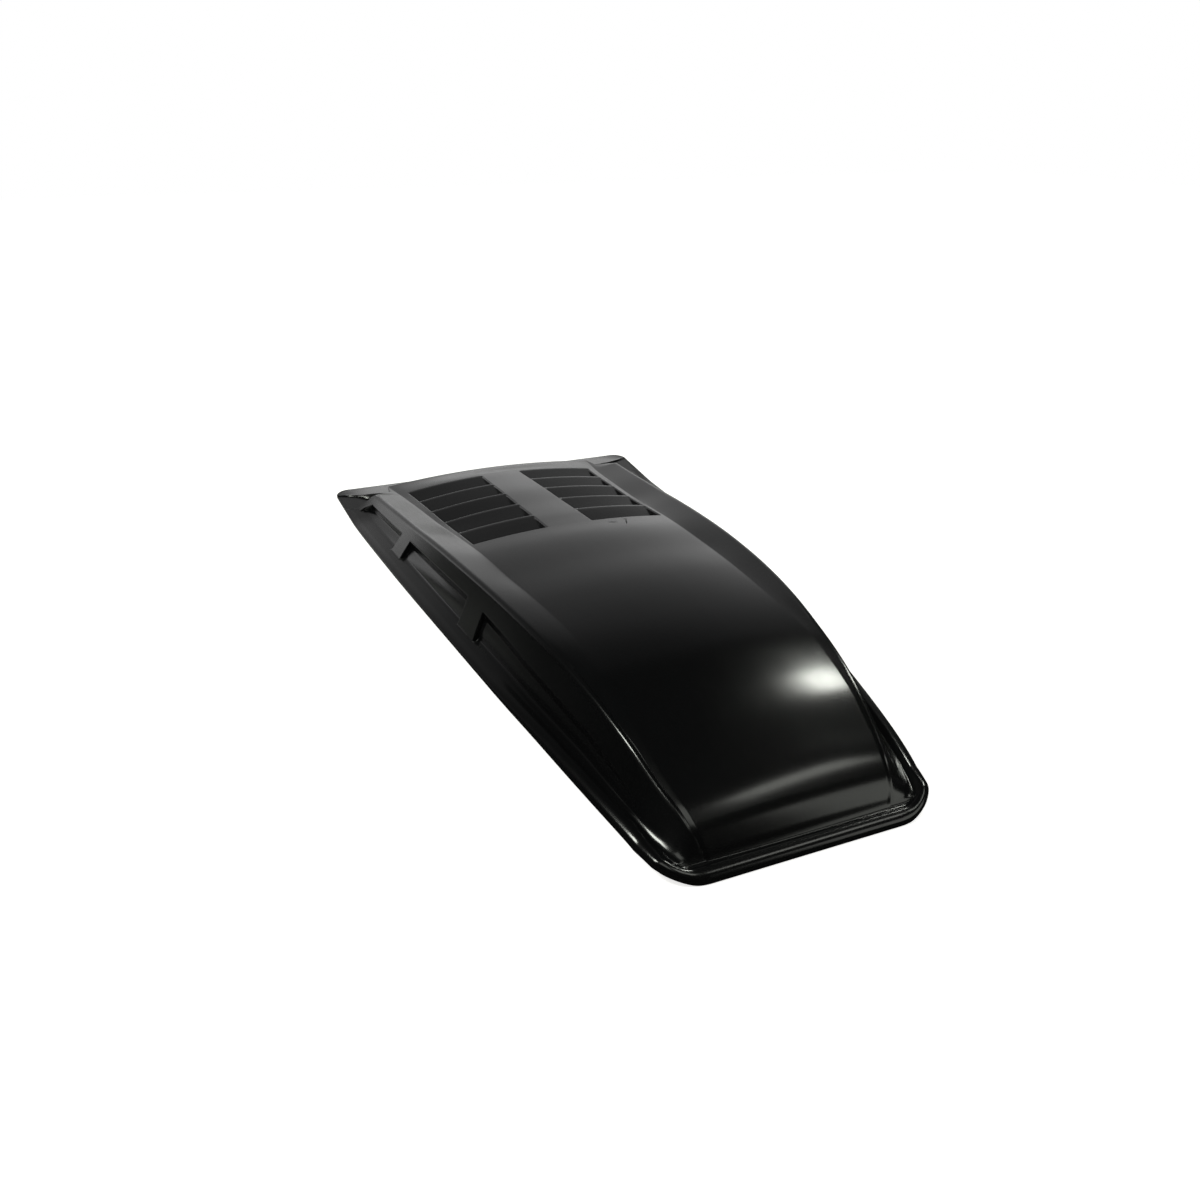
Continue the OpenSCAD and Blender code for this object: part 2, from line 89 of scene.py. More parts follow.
def curve(stations, f):
    i = 0
    while i < len(stations) - 2 and f >= stations[i + 1][0]:
        i += 1

    def rate(k):
        a, b = stations[max(0, k - 1)], stations[min(len(stations) - 1, k + 1)]
        return (b[1] - a[1]) / (b[0] - a[0])
    w = stations[i + 1][0] - stations[i][0]
    t = (f - stations[i][0]) / w
    return ((2 * t**3 - 3 * t**2 + 1) * stations[i][1] + (t**3 - 2 * t**2 + t) * w * rate(i)
            + (3 * t**2 - 2 * t**3) * stations[i + 1][1] + (t**3 - t**2) * w * rate(i + 1))


def kept(rule):
    known = {}

    def answer(*at):
        if at not in known:
            known[at] = rule(*at)
        return known[at]
    return answer


@kept
def edge_line(u):
    return mix(front_w, rear_w, curve(edge_open, u / body_len)) / 2


@kept
def edge_x(u):
    v = max(1 - u / front_corner_r, 0)
    return edge_line(u) - front_corner_r * corner_stretch * (1 - sqrt(1 - v * v))


@kept
def arch(u):
    return arch_h * max(curve(arch_rise, u / body_len), 0)


@kept
def rim_share(u):
    return curve(rim_rise, u / body_len)


def rim_at(u):
    return mix(rim_front_w, rim_w, clamp(u / rim_widen))


def edge_z(x, u):
    near = smooth(1 - (edge_line(u) - x) / corner_lift_w)
    return lip_h + arch(u) + corner_lift * near * clamp((lift_to - u) / (lift_to - lift_from))


def edge_gap(x, u):
    side, end = edge_line(u) - x, min(u, body_len - u)
    r, s = (front_corner_r, corner_stretch) if u < half_len else (rear_corner_r, 1)
    a, b = r - end, r * s - side
    if a <= 0 or b <= 0:
        return min(side, end)
    return hypot(a, b) * (r / hypot(a, b / s) - 1)


def flange_z(x, u):
    d, share = max(edge_gap(x, u), 0), rim_share(u)
    w = rim_at(u)
    t, past = min(d / w, 1), clamp(d - w, 0, flange_w - w)
    dip = rim_valley * smooth(past / rim_valley_w)
    return (edge_z(x, u) + rim_h * share * sqrt(1 - (1 - t) ** 2)
            + mix(flange_slope * past, -dip, clamp((share - side_rim) / (1 - side_rim))))


# Top panel: the domed front runs into a long, slightly crowned panel between two valleys.
dome_h, crown_h, panel_end = 92, 13.6, 35
valley_rear_w, valley_front_w = 311, 148
end_u = body_len - panel_end
valley_rise = [(0, -0.2), (0.013, 0.02), (0.019, 0.18), (0.027, 0.305), (0.037, 0.39), (0.049, 0.46),
               (0.071, 0.547), (0.114, 0.715), (0.158, 0.835), (0.2, 0.91), (0.267, 0.937),
               (0.354, 0.891), (0.44, 0.805), (0.53, 0.715), (0.615, 0.59), (0.7, 0.453),
               (0.79, 0.337), (0.876, 0.228), (0.96, 0.14), (1, 0.12)]
crown_rise = [(0, 0.05), (0.027, 0.18), (0.07, 0.33), (0.16, 0.44), (0.267, 0.48), (0.354, 0.58),
              (0.53, 0.59), (0.58, 0.62), (0.7, 0.92), (0.79, 1), (0.91, 0.95), (0.96, 0.72), (1, 0.66)]
valley_open = [(0, -0.05), (0.013, 0.06), (0.027, 0.135), (0.049, 0.196), (0.071, 0.245),
               (0.114, 0.307), (0.18, 0.344), (0.267, 0.36), (0.354, 0.43), (0.44, 0.51),
               (0.53, 0.568), (0.7, 0.712), (0.876, 0.879), (0.96, 1), (1, 1)]


@kept
def valley_x(u):
    return mix(valley_front_w, valley_rear_w, curve(valley_open, u / body_len)) / 2


@kept
def valley_z(u):
    return dome_h * curve(valley_rise, u / body_len)


@kept
def crown(u):
    return crown_h * curve(crown_rise, u / body_len)


def panel_z(x, u):
    return valley_z(u) + crown(u) * (1 - (x / valley_x(u)) ** 2)


# Shoulder rails: outside each valley a rail rises to a rounded ridge, and from there the
# side falls in one plane to the feet of the struts. Below the eave it is cut into pockets.
rail_rear_w, rail_front_w, rail_h, ridge_r, rail_end = 27, 6, 7.5, 4.5, 91.5
rail_u = body_len - rail_end
eave_share, step_h, foot_reach = 0.53, 9, 6
tip_shift, shift_from, shift_to = 5, 60, 150
round_in, round_out, step_w = 0.45, 0.6, 0.6
ridge_open = [(0, -0.05), (0.013, 0.04), (0.027, 0.096), (0.049, 0.157), (0.071, 0.21), (0.114, 0.291),
              (0.158, 0.355), (0.245, 0.466), (0.332, 0.573), (0.419, 0.66), (0.506, 0.735),
              (0.637, 0.826), (0.767, 0.912), (0.898, 1), (1, 1.04)]
rail_rise = [(0, -0.2), (0.027, -0.27), (0.07, -0.5), (0.114, -0.63), (0.158, -0.77), (0.2, -0.95),
             (0.267, -0.57), (0.354, -0.08), (0.44, 0.34), (0.53, 0.37), (0.615, 0.63), (0.7, 0.84),
             (0.81, 0.78), (1, 0.7)]
eave_fall = [(0, 0), (0.03, 0.5), (0.06, 0.85), (0.068, 0.78), (0.076, 0.64), (0.085, 0.52),
             (0.1, 0.45), (0.14, 0.47), (0.2, 0.48), (0.27, 0.36), (0.36, 0.12), (0.44, 0), (1, 0)]


@kept
def ridge_x(u):
    return (mix(valley_front_w + 2 * rail_front_w, valley_rear_w + 2 * rail_rear_w,
                curve(ridge_open, u / body_len)) / 2)


@kept
def ridge_z(u):
    return valley_z(u) + rail_h * curve(rail_rise, u / body_len)


@kept
def squeeze(u):
    return min(1, (edge_x(u) - ridge_x(u)) / (flange_w + foot_reach))


@kept
def foot_x(u):
    return edge_x(u) - (flange_w - foot_reach) * squeeze(u)


@kept
def foot_z(u):
    return flange_z(foot_x(u), u)


@kept
def wall_foot_x(u):
    narrowed = tip_shift * clamp((shift_to - u) / (shift_to - shift_from))
    return edge_x(u) - (flange_w - narrowed) * squeeze(u)


@kept
def eave_x(u):
    return mix(ridge_x(u), wall_foot_x(u), mix(eave_share, 1, curve(eave_fall, u / body_len)))


@kept
def ridge_half(u):
    return min(ridge_r, (ridge_x(u) - valley_x(u)) * round_in, (eave_x(u) - ridge_x(u)) * round_out)


@kept
def corner_z(u):
    rail_slope = (ridge_z(u) - valley_z(u)) / (ridge_x(u) - valley_x(u))
    side_fall = (ridge_z(u) - foot_z(u)) / (foot_x(u) - ridge_x(u))
    return ridge_z(u) + ridge_half(u) * (side_fall + rail_slope) / 4


def slope_z(x, u):
    return mix(corner_z(u), foot_z(u), (x - ridge_x(u)) / (foot_x(u) - ridge_x(u)))


# Pockets and struts: three pockets are sunk into each side under the eave, each below a step
# that is cut back under it. The two struts between them and the one at the rear are what is
# left of the side wall's plane.
tip_at, pocket_grow, step_grow = 57, 20, 90
strut_walls = (366, 407, 615, 650.5, 805)
undercut, floor_share = 1.7, 0.7
strut_edge_r, strut_face, strut_shift = 1.5, 9, 0.8
strut_c_sweep, strut_sweep = 17, 12
blend_r, blend_from, blend_to = 4.5, 45, 90


# How far the surface has fallen at a distance inside a rounded edge, down to the given depth.
def edge_fall(inside, depth, r):
    if inside <= 0:
        return 0
    if inside < r:
        return min(r - sqrt(r * r - inside * inside), depth)
    return min(r + (inside - r) * 12, depth)


def gate(u, a, b):
    return edge_fall(min(u - a, b - u) + strut_shift, strut_face, strut_edge_r) / strut_face


def tip_share(u):
    return clamp((u - tip_at) / pocket_grow)


@kept
def pocket_at(u):
    a, b, c, d, e = strut_walls
    return max(min(tip_share(u), gate(u, tip_at - pocket_grow, a)), gate(u, b, c), gate(u, d, e))


def step_at(u):
    room = slope_z(eave_x(u), u) - flange_z(wall_foot_x(u), u)
    return min(step_h, room * floor_share) * pocket_at(u) * clamp((u - tip_at) / step_grow)


def step_x(u):
    room = wall_foot_x(u) - eave_x(u)
    return eave_x(u) + mix(room / 3, min(step_w, room / 5), tip_share(u))


def meet(a, b, r):
    return max(a, b) + (max(r - abs(a - b), 0) ** 2 / (4 * r) if r > 0 else 0)


# Louvres: two banks of closed slats. Each slat is pressed in, deep just behind the slat
# before it and flush at its rear, where a narrow land is left and the corners are rounded.
slats, slat_pitch, louvre_at, bank_gap = 5, 60, 530, 54
border_front, border_rear = 3, 10.5
slot_h, land_w, slot_corner_r = 10, 3, 3.5
slot_edge_r, slot_side_r, ramp_soft = 1.1, 2.2, 0.35


def slot_dip(u):
    v = u - louvre_at
    deepest = 0
    for n in range(slats):
        w = v - n * slat_pitch
        if -1 < w < slat_pitch + 1:
            left = (slat_pitch - land_w - w) / (slat_pitch - land_w)
            ramp = slot_h * meet(left, 0, 2 * ramp_soft / slot_h) if w > 0 else slot_h
            deepest = max(deepest, edge_fall(w, ramp, slot_edge_r))
    return deepest


def slot_inset(u):
    v = u - louvre_at
    if v <= 0 or v >= slats * slat_pitch:
        return 0
    w = max(v % slat_pitch - (slat_pitch - land_w - slot_corner_r), 0)
    return slot_corner_r - sqrt(max(slot_corner_r ** 2 - w ** 2, 0))


@kept
def bank_x(u):
    t = clamp((u - louvre_at) / (slats * slat_pitch))
    return valley_x(u) - mix(border_front, border_rear, t)


# Half of the cross-section at u, from the middle to the outer edge. Each point carries the
# number of the line it belongs to: 0 the middle, 6 valley, 9 ridge, 11 eave, 12 foot of the
# step, 14 foot of the wall, 15 feet of the struts, 19 outer edge.
def rounded(corners, points):
    for k in range(1, len(corners) - 1):
        (x0, z0, *_), (x, z, n, leg, steps), (x1, z1, *_) = corners[k - 1:k + 2]
        before, after = hypot(x0 - x, z0 - z), hypot(x1 - x, z1 - z)
        a, b = min(leg, before * 0.46) / max(before, 1e-6), min(leg, after * 0.46) / max(after, 1e-6)
        xa, za, xb, zb = mix(x, x0, a), mix(z, z0, a), mix(x, x1, b), mix(z, z1, b)
        for i in range(steps + 1):
            t = i / steps
            points.append((mix(mix(xa, x, t), mix(x, xb, t), t), mix(mix(za, z, t), mix(z, zb, t), t), n))
        if k < len(corners) - 2:
            x2, z2, n2, leg2 = corners[k + 1][:4]
            c = 1 - min(leg2, after * 0.46) / max(after, 1e-6)
            for t in (0.08, 0.36, 0.64, 0.92):
                s = mix(b, c, t)
                points.append((mix(x, x2, s), mix(z, z2, s), mix(n, n2, s)))


@kept
def half_section(u, g):
    inset, dip, in_x, out_x, vx = slot_inset(u), slot_dip(u), bank_gap / 2, bank_x(u), valley_x(u)
    edges = (-1.0, -0.1, 0.5, 0.95, 1.35, 1.7, 1.95, 2.12, 2.35, 2.65, 3.1)
    a, b = in_x + inset, out_x - inset
    across = [in_x * s for s in (0, 0.25, 0.5, 0.75, 0.9)] + [a + e for e in edges]
    across += [mix(a + 3.4, b - 3.4, s) for s in (0.06, 0.2, 0.35, 0.5, 0.65, 0.8, 0.94)]
    across += [b - e for e in reversed(edges)] + [mix(b + 1, vx - 1.5, s) for s in (0.35, 0.7)]
    points = []
    for x in across:
        pressed = edge_fall(min(x - a, b - x), dip, slot_side_r)
        points.append((x, panel_z(x, u) - pressed, 6 * x / vx))
    ex, sx, wx, fx, gx = eave_x(u), step_x(u), wall_foot_x(u), foot_x(u), edge_x(u)
    mid_x, sunk, step = (sx + wx) / 2, pocket_at(g), step_at(g)
    floor_z, ez, bead = flange_z(wx, u), slope_z(ex, u), rim_at(u) * squeeze(u)
    rounded([
        (vx - 1.5, panel_z(vx - 1.5, u), 5.9, 0, 0),
        (vx, valley_z(u), 6, 8, 8),
        (ridge_x(u), corner_z(u), 9, ridge_half(u), 8),
        (ex, ez, 11, 0.9, 4),
        (sx - undercut * step / step_h, mix(slope_z(sx, u), ez - step, sunk), 12, 0.7, 3),
        (mid_x, mix(slope_z(mid_x, u), mix(ez - step, floor_z, 0.5), sunk), 13, 4, 3),
        (wx, mix(slope_z(wx, u), floor_z, sunk), 14, 2.7, 4),
        (fx, flange_z(fx, u), 15, 1.5, 3),
        (mix(fx, gx - bead, 0.6), flange_z(mix(fx, gx - bead, 0.6), u), 15.6, 0, 0),
    ], points)
    for s in (0.3, 0.6, 0.85):
        x = mix(fx, gx - bead, s)
        points.append((x, flange_z(x, u), 15 + s))
    for i in range(10, -1, -1):
        t = 1 - cos(pi / 2 * i / 10)
        x = gx - bead * t
        points.append((x, flange_z(x, u) if i else edge_z(x, u), 19 - 3 * t))
    fade = blend_r * clamp((blend_to - u) / (blend_to - blend_from))
    top = corner_z(u)
    formed = [(x, z if n < 9 else min(z, top, slope_z(x, u) + 0.01), n) for x, z, n in points]
    return [(x, meet(z, flange_z(x, u), fade), n) for x, z, n in formed]


# Rear end: the panel stops at a short wall, the rails are cut back on a diagonal beside it,
# and behind them a wing with a low crest sweeps out to each tip.
wing_h, wing_sweep, notch_len, notch_share = 14, 43, 32, 0.19
crest_in, crest_out, crest_tip_h, crest_ahead, crest_slope = 6.5, 1.5, 4, 30, 1.3
floor_slope, edge_slope, draft = 0.08, 0.8, 1
crest_from, crest_to = valley_rear_w / 2 + crest_in, rear_w / 2 - crest_out
crest_soft, crest_bead = 2.6, 0.8
notch_u = end_u - notch_len
notch_x = mix(valley_x(notch_u), ridge_x(notch_u), notch_share)
tail_from = strut_walls[4] + 1.8
reference = half_section(tail_from, tail_from)
columns = len(reference)
lean_stops = [(step_x(tail_from), 0), ((step_x(tail_from) + wall_foot_x(tail_from)) / 2, 0.45),
              (wall_foot_x(tail_from), 0.8), (foot_x(tail_from), 1)]


# The rear strut's front face sweeps back below the eave; how much, for each column.
def leaning(x):
    share = 0
    for (a, low), (b, high) in zip(lean_stops, lean_stops[1:]):
        if x > a:
            share = mix(low, high, clamp((x - a) / (b - a)))
    return share


lean_shares = [leaning(point[0]) for point in reference]


def lean(c, u):
    along = clamp((u - strut_walls[3]) / (strut_walls[4] - strut_walls[3]))
    return strut_c_sweep * lean_shares[c] * along ** 2


end_row = half_section(end_u, end_u)
rail_row = half_section(rail_u, rail_u)
ridge_column = max(range(columns), key=lambda c: -abs(end_row[c][0] - ridge_x(end_u)))
valley_column = max(range(columns), key=lambda c: -abs(end_row[c][0] - valley_x(end_u)))


def crest_share(x):
    return clamp((x - crest_from) / (crest_to - crest_from))


def crest_u(x):
    return min(end_u - crest_ahead + wing_sweep * crest_share(x), body_len - rear_corner_r - draft)


def rear_z(x, u):
    d, high, c = max(edge_gap(x, u), 0), mix(wing_h, crest_tip_h, crest_share(x)), crest_u(x)
    strip, front = mix(lip_h, high, (body_len - u) / (body_len - c)), high - crest_slope * (c - u)
    wing = -meet(-strip, -front, crest_soft) + crest_bead * max(1 - ((u - c - 0.6) / 1.8) ** 2, 0)
    return lip_h + max(min(meet(wing - lip_h, floor_slope * min(d, flange_w), 1), edge_slope * d), 0)


# Where each line along the scoop ends: across the panel's end, forward along its corner,
# along the diagonal to the ridge, then back down the rear face of the rear strut.
def cut_of(c):
    if c <= valley_column:
        x, z, _ = end_row[c]
        return min(x, valley_x(end_u)), end_u, z
    if c < ridge_column:
        t = (c - valley_column) / (ridge_column - valley_column)
        notch_z = half_section(notch_u, tail_from)[valley_column][1] + 0.6
        if t <= 0.4:
            t = t / 0.4
            return mix(valley_x(end_u), notch_x, t), mix(end_u, notch_u, t), mix(valley_z(end_u), notch_z, t)
        t = (t - 0.4) / 0.6
        return mix(notch_x, ridge_x(rail_u), t), mix(notch_u, rail_u, t), mix(notch_z, ridge_z(rail_u), t)
    x, z, _ = rail_row[c]
    back = max((x - ridge_x(rail_u)) / (edge_x(rail_u) - ridge_x(rail_u)), 0)
    return x + back * (edge_x(rail_u + strut_sweep) - edge_x(rail_u)), rail_u + strut_sweep * back, z


cuts = [cut_of(c) for c in range(columns)]


# One point behind the cuts: s runs from the cut (0) down the end wall (1) to the wing's crest
# (2), and past it t runs to the rear edge while turn goes round the corner of the tip.
def rear_point(c, s, t, turn):
    x0, from_x = cuts[c][0], valley_x(end_u)
    last_x, last_u = cuts[-1][:2]

    def along(x, cut, at_x):
        crest = max(crest_u(at_x), cut + 2.5)
        if s <= 1:
            return cut + draft * s
        if s <= 2:
            return mix(cut + draft, crest, s - 1)
        share = clamp((x - from_x) / (last_x - from_x))
        return mix(mix(crest, body_len, t), body_len - rear_corner_r * (1 - sin(turn)), share ** 4)
    edge = edge_line(min(along(last_x, last_u, last_x), body_len - rear_corner_r))
    edge -= rear_corner_r * (1 - cos(turn))
    x = x0 if c <= valley_column else mix(from_x, x0, (edge - from_x) / (last_x - from_x))
    u = along(x0, cuts[c][1], x)
    low = rear_z(x, u)
    if s > 1:
        return x, u, low
    return x, u, mix(max(cuts[c][2], low), low, smooth(s))


# The moulding: one shot of ABS, 3 mm thick. Its outer face is a net of points, with the rows
# close together where the form turns: at the nose, at the strut walls and at the slats.
near = [rim_front_w * (1 - cos(radians(a))) for a in range(0, 91, 10)]
near += [7.4 + 0.45 * i for i in range(25)]
row, plain = near[-1], []
while row < tail_from:
    row += 0.9 if row < 30 else 2.4 if row < 70 else 3.6 if row < 130 else 5.5
    plain.append(row)
fine = [a + (e if i in (1, 3) else -e) for i, a in enumerate(strut_walls)
        for e in (-1.6, -0.9, -0.55, -0.2, 0.1, 0.35, 0.55, 0.7, 0.95, 1.2, 1.6)]
fine += [louvre_at + n * slat_pitch + e for n in range(slats + 1)
         for e in (-1, -0.1, 0.3, 0.55, 0.8, 0.98, 1.1, 1.35, 1.6, 2.0)]
fine += [louvre_at + (n + 1) * slat_pitch - land_w + e for n in range(slats)
         for e in (-6, -4, -2.8, -1.8, -1, -0.4, 0.05, 0.5)]


def spaced(wanted, kept_rows, gap):
    return [a for a in wanted if min(abs(a - b) for b in kept_rows) > gap]


fine = sorted(set(round(a, 2) for a in fine))
fine = [a for i, a in enumerate(fine) if i == 0 or a - fine[i - 1] > 0.2]
body_us = [a for a in fine if a < tail_from - 0.05] + spaced(plain[:-1], fine, 0.9)
body_us = near + sorted(body_us) + [tail_from]
tail_us = [a for a in fine if a > tail_from + 1]
tail_us += spaced([tail_from + 4 * i for i in range(1, 19)], fine, 1.4) + [end_u - 0.8]
tail_us.sort()
outer_rows = []
for u in body_us:
    if u <= strut_walls[3] or u >= tail_from + 20:
        points = [(x, u, z) for x, z, n in half_section(u, u)]
    else:
        points = []
        for c in range(columns):
            at = u + lean(c, u)
            x, z, n = half_section(round(at, 3), u)[c] if at > u else half_section(u, u)[c]
            points.append((x, at, z))
    outer_rows.append(points)
for a in tail_us:
    share, points = (a - tail_from) / (end_u - tail_from), []
    for c in range(columns):
        at = mix(tail_from + lean(c, tail_from), cuts[c][1], share)
        x, z, n = half_section(round(at, 3), tail_from)[c]
        ends = smooth((share - 0.4) / 0.6) if c > valley_column else 0
        cut_x, cut_u, cut_z = cuts[c]
        at_cut = half_section(round(cut_u, 3), tail_from)[c]
        points.append((x + (cut_x - at_cut[0]) * ends, at, z + (cut_z - at_cut[1]) * ends))
    outer_rows.append(points)
for s in (0, 0.12, 0.3, 0.5, 0.7, 0.88, 1, 1.25, 1.5, 1.7, 1.82, 1.9, 1.96, 2):
    outer_rows.append([rear_point(c, s, 0, 0) for c in range(columns)])
for t in [0.025, 0.05, 0.08, 0.11] + [i / 14 for i in range(2, 15)]:
    outer_rows.append([rear_point(c, 3, t, radians(90) * t ** 1.6) for c in range(columns)])


# Both sides, the inner face a wall's thickness below, and the lip that joins them.
def across_row(points):
    return [(-x, u, z) for x, u, z in points[:0:-1]] + list(points)


def as_metres(point):
    x, u, z = point
    return Vector((x, u - half_len, z)) / 1000


outer = [[as_metres(p) for p in across_row(points)] for points in outer_rows]
wide = len(outer[0])


def way_out(grid, i, j):
    total = Vector((0, 0, 0))
    for a, b in ((i - 1, j - 1), (i - 1, j), (i, j - 1), (i, j)):
        if 0 <= a < len(grid) - 1 and 0 <= b < len(grid[0]) - 1:
            cell = (grid[a][b + 1] - grid[a + 1][b]).cross(grid[a + 1][b + 1] - grid[a][b])
            total += cell.normalized()
    return total.normalized()


row_step = [i for i in range(len(outer)) if i in (0, len(outer) - 1) or i % 3 == 0]
column_step = [j for j in range(wide) if (j - wide // 2) % 3 == 0]
main = [[outer[i][j] for j in column_step] for i in row_step]
inner = [[main[i][j] - way_out(main, i, j) * wall / 1000 for j in range(len(main[0]))]
         for i in range(len(main))]

verts = [p for line in outer for p in line]
faces = []
for i in range(len(outer) - 1):
    for j in range(wide - 1):
        a = i * wide + j
        faces.append((a, a + 1, a + wide + 1, a + wide))
rim = ([j for j in range(wide)] + [i * wide + wide - 1 for i in range(1, len(outer))]
       + [(len(outer) - 1) * wide + j for j in range(wide - 2, -1, -1)]
       + [i * wide for i in range(len(outer) - 2, 0, -1)])
plan = [verts[v].xy for v in rim]
rings = [rim]
lip_profile = ((0.0, 1.2), (0.0, 2.4), (0.12, 3.1), (0.5, 3.5), (2.5, 3.5), (2.88, 3.1), (3.0, 2.4), (3.0, -0.5))
for inward, down in lip_profile:
    ring = []
    for k, v in enumerate(rim):
        along = (plan[(k + 1) % len(plan)] - plan[k - 1]).normalized()
        moved = plan[k] + Vector((-along.y, along.x)) * inward / 1000
        ring.append(len(verts))
        verts.append(Vector((moved.x, moved.y, verts[v].z - down / 1000)))
    rings.append(ring)
for upper, lower in zip(rings, rings[1:]):
    for k in range(len(rim)):
        n = (k + 1) % len(rim)
        faces.append((upper[k], lower[k], lower[n], upper[n]))
first = len(verts)
verts += [p for line in inner for p in line]
narrow = len(inner[0])
for i in range(len(inner) - 1):
    for j in range(narrow - 1):
        a = first + i * narrow + j
        faces.append((a, a + narrow, a + narrow + 1, a + 1))


# Light falls smoothly over a rounded form and breaks at a sharp edge.
def soft_normals(verts, faces, limit):
    ways, around = [], [[] for _ in verts]
    for f, face in enumerate(faces):
        a, b, c, d = (verts[v] for v in face)
        ways.append((c - a).cross(d - b))
        for v in face:
            around[v].append(f)
    flat = [w.normalized() for w in ways]
    edge = cos(radians(limit))
    result = []
    for f, face in enumerate(faces):
        for v in face:
            total = Vector((0, 0, 0))
            for g in around[v]:
                if g == f or flat[g].dot(flat[f]) > edge:
                    total += ways[g]
            result.append(total.normalized() if total.length > 0 else flat[f])
    return result


mesh = bpy.data.meshes.new("scoop_moulding")
mesh.from_pydata(verts, [], faces)
mesh.shade_smooth()
mesh.normals_split_custom_set(soft_normals(verts, faces, 42))
moulding = bpy.data.objects.new("scoop_moulding", mesh)
bpy.context.scene.collection.objects.link(moulding)
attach(moulding, "root")
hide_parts("scoop_shell")


# Finish: black ABS straight from the tool, satin, with a very fine grain, handling marks and
# a few light scuffs. Its gloss is a little uneven, as on any large moulding.
class Socket:
    def __init__(self, nodes, out):
        self.nodes, self.out = nodes, out

    def math(self, operation, other=None, swapped=False):
        first, second = (other, self) if swapped else (self, other)
        return self.nodes.add("ShaderNodeMath", {"operation": operation}, {0: first, 1: second})

    def __add__(self, other): return self.math("ADD", other)
    def __radd__(self, other): return self.math("ADD", other, True)
    def __sub__(self, other): return self.math("SUBTRACT", other)
    def __rsub__(self, other): return self.math("SUBTRACT", other, True)
    def __mul__(self, other): return self.math("MULTIPLY", other)
    def __rmul__(self, other): return self.math("MULTIPLY", other, True)
    def __truediv__(self, other): return self.math("DIVIDE", other)


class Nodes:
    def __init__(self, tree):
        self.tree = tree
        tree.nodes.clear()

    def add(self, kind, settings=None, inputs=None, output=0):
        node = self.tree.nodes.new(kind)
        for name, value in (settings or {}).items():
            if name == "stops":
                ramp = node.color_ramp.elements
                while len(ramp) < len(value):
                    ramp.new(0.5)
                for stop, (place, shade) in zip(ramp, value):
                    stop.position, stop.color = place, (shade, shade, shade, 1)
            else:
                setattr(node, name, value)
        for name, value in (inputs or {}).items():
            if value is None:
                continue
            if isinstance(value, Socket):
                self.tree.links.new(value.out, node.inputs[name])
            else:
                node.inputs[name].default_value = value
        return Socket(self, node.outputs[output]) if len(node.outputs) else None


black_abs = bpy.data.materials.new("satin_black_abs")
black_abs.use_nodes = True
n = Nodes(black_abs.node_tree)
place = n.add("ShaderNodeTexCoord", output="Object")
grain = n.add("ShaderNodeTexNoise", {}, {"Vector": place, "Scale": 1500.0, "Detail": 2.0, "Roughness": 0.6})
cloud = n.add("ShaderNodeTexNoise", {}, {"Vector": place, "Scale": 9.0, "Detail": 3.0, "Roughness": 0.55})
streaks = n.add("ShaderNodeMapping", {}, {"Vector": place, "Scale": (60.0, 6.0, 60.0)})
wipes = n.add("ShaderNodeTexNoise", {}, {"Vector": streaks, "Scale": 4.0, "Detail": 4.0, "Roughness": 0.6})
across, along = (n.add("ShaderNodeSeparateXYZ", {}, {0: place}, output=i) for i in range(2))


# A soft-edged rubbed place on the panel, long and wide in metres, turned from the x axis.
def rubbed(x, y, turn, long, wide):
    c, s = cos(radians(turn)), sin(radians(turn))
    down = ((across - x) * c + (along - y) * s) / long
    over = ((along - y) * c - (across - x) * s) / wide
    return (1 - down * down - over * over).math("MAXIMUM", 0.0)


scuffs = rubbed(0.0635, 0.0505, 70, 0.0125, 0.0013) + rubbed(0.0672, 0.0628, -12, 0.0038, 0.0022)
scuffs = scuffs + rubbed(0.0475, 0.0545, -20, 0.0075, 0.003) * 0.6
roughness = 0.19 + (cloud - 0.5) * 0.06 + (wipes - 0.5) * 0.05 + scuffs * 0.4
waves = n.add("ShaderNodeTexNoise", {}, {"Vector": place, "Scale": 14.0, "Detail": 1.0})
ripple = n.add("ShaderNodeBump", {}, {"Strength": 0.06, "Distance": 0.002, "Height": waves})
skin = n.add("ShaderNodeBump", {}, {"Strength": 0.05, "Distance": 0.0001, "Height": grain, "Normal": ripple})
tone = n.add("ShaderNodeMix", {"data_type": "RGBA"},
             {0: cloud, 6: (0.0035, 0.0036, 0.004, 1), 7: (0.0045, 0.0046, 0.005, 1)}, output=2)
plastic = n.add("ShaderNodeBsdfPrincipled", {}, {
    "Base Color": tone, "Roughness": roughness, "IOR": 1.5, "Normal": skin})
n.add("ShaderNodeOutputMaterial", {}, {"Surface": plastic})
moulding.data.materials.append(black_abs)


# Studio: a white floor that keeps the scoop's shadow, in a dark room whose rear wall is pale
# near the ground. The camera sees both as plain white. In reflections the floor shows painted
# light: pale behind the scoop, with painted shade ahead of it and to its left.
floor_mesh = bpy.data.meshes.new("floor")
floor_mesh.from_pydata([(-6, -6, 0), (6, -6, 0), (6, 6, 0), (-6, 6, 0)], [], [(0, 1, 2, 3)])
studio_floor = bpy.data.objects.new("floor", floor_mesh)
studio_floor.location.z = -0.0002
bpy.context.scene.collection.objects.link(studio_floor)
paper = bpy.data.materials.new("white_floor")
paper.use_nodes = True
n = Nodes(paper.node_tree)
seen = n.add("ShaderNodeLightPath", output="Is Camera Ray")
mirrored = n.add("ShaderNodeLightPath", output="Is Glossy Ray")
ground = n.add("ShaderNodeTexCoord", output="Object")
across, along = (n.add("ShaderNodeSeparateXYZ", {}, {0: ground}, output=i) for i in range(2))
soft = {"interpolation_type": "SMOOTHSTEP"}
# Painted light on the floor, seen in reflections only: pale behind the scoop, dark ahead of it and to its left.
behind = n.add("ShaderNodeMapRange", soft, {0: along, 1: -0.2, 2: 0.4, 3: 0.02, 4: 0.42})
beside = n.add("ShaderNodeMapRange", soft, {0: across, 1: -0.55, 2: -0.25, 3: 0.05, 4: 1.0})
painted_light_share = behind * beside
painted_floor_light = n.add("ShaderNodeCombineColor", {}, {0: painted_light_share, 1: painted_light_share, 2: painted_light_share})
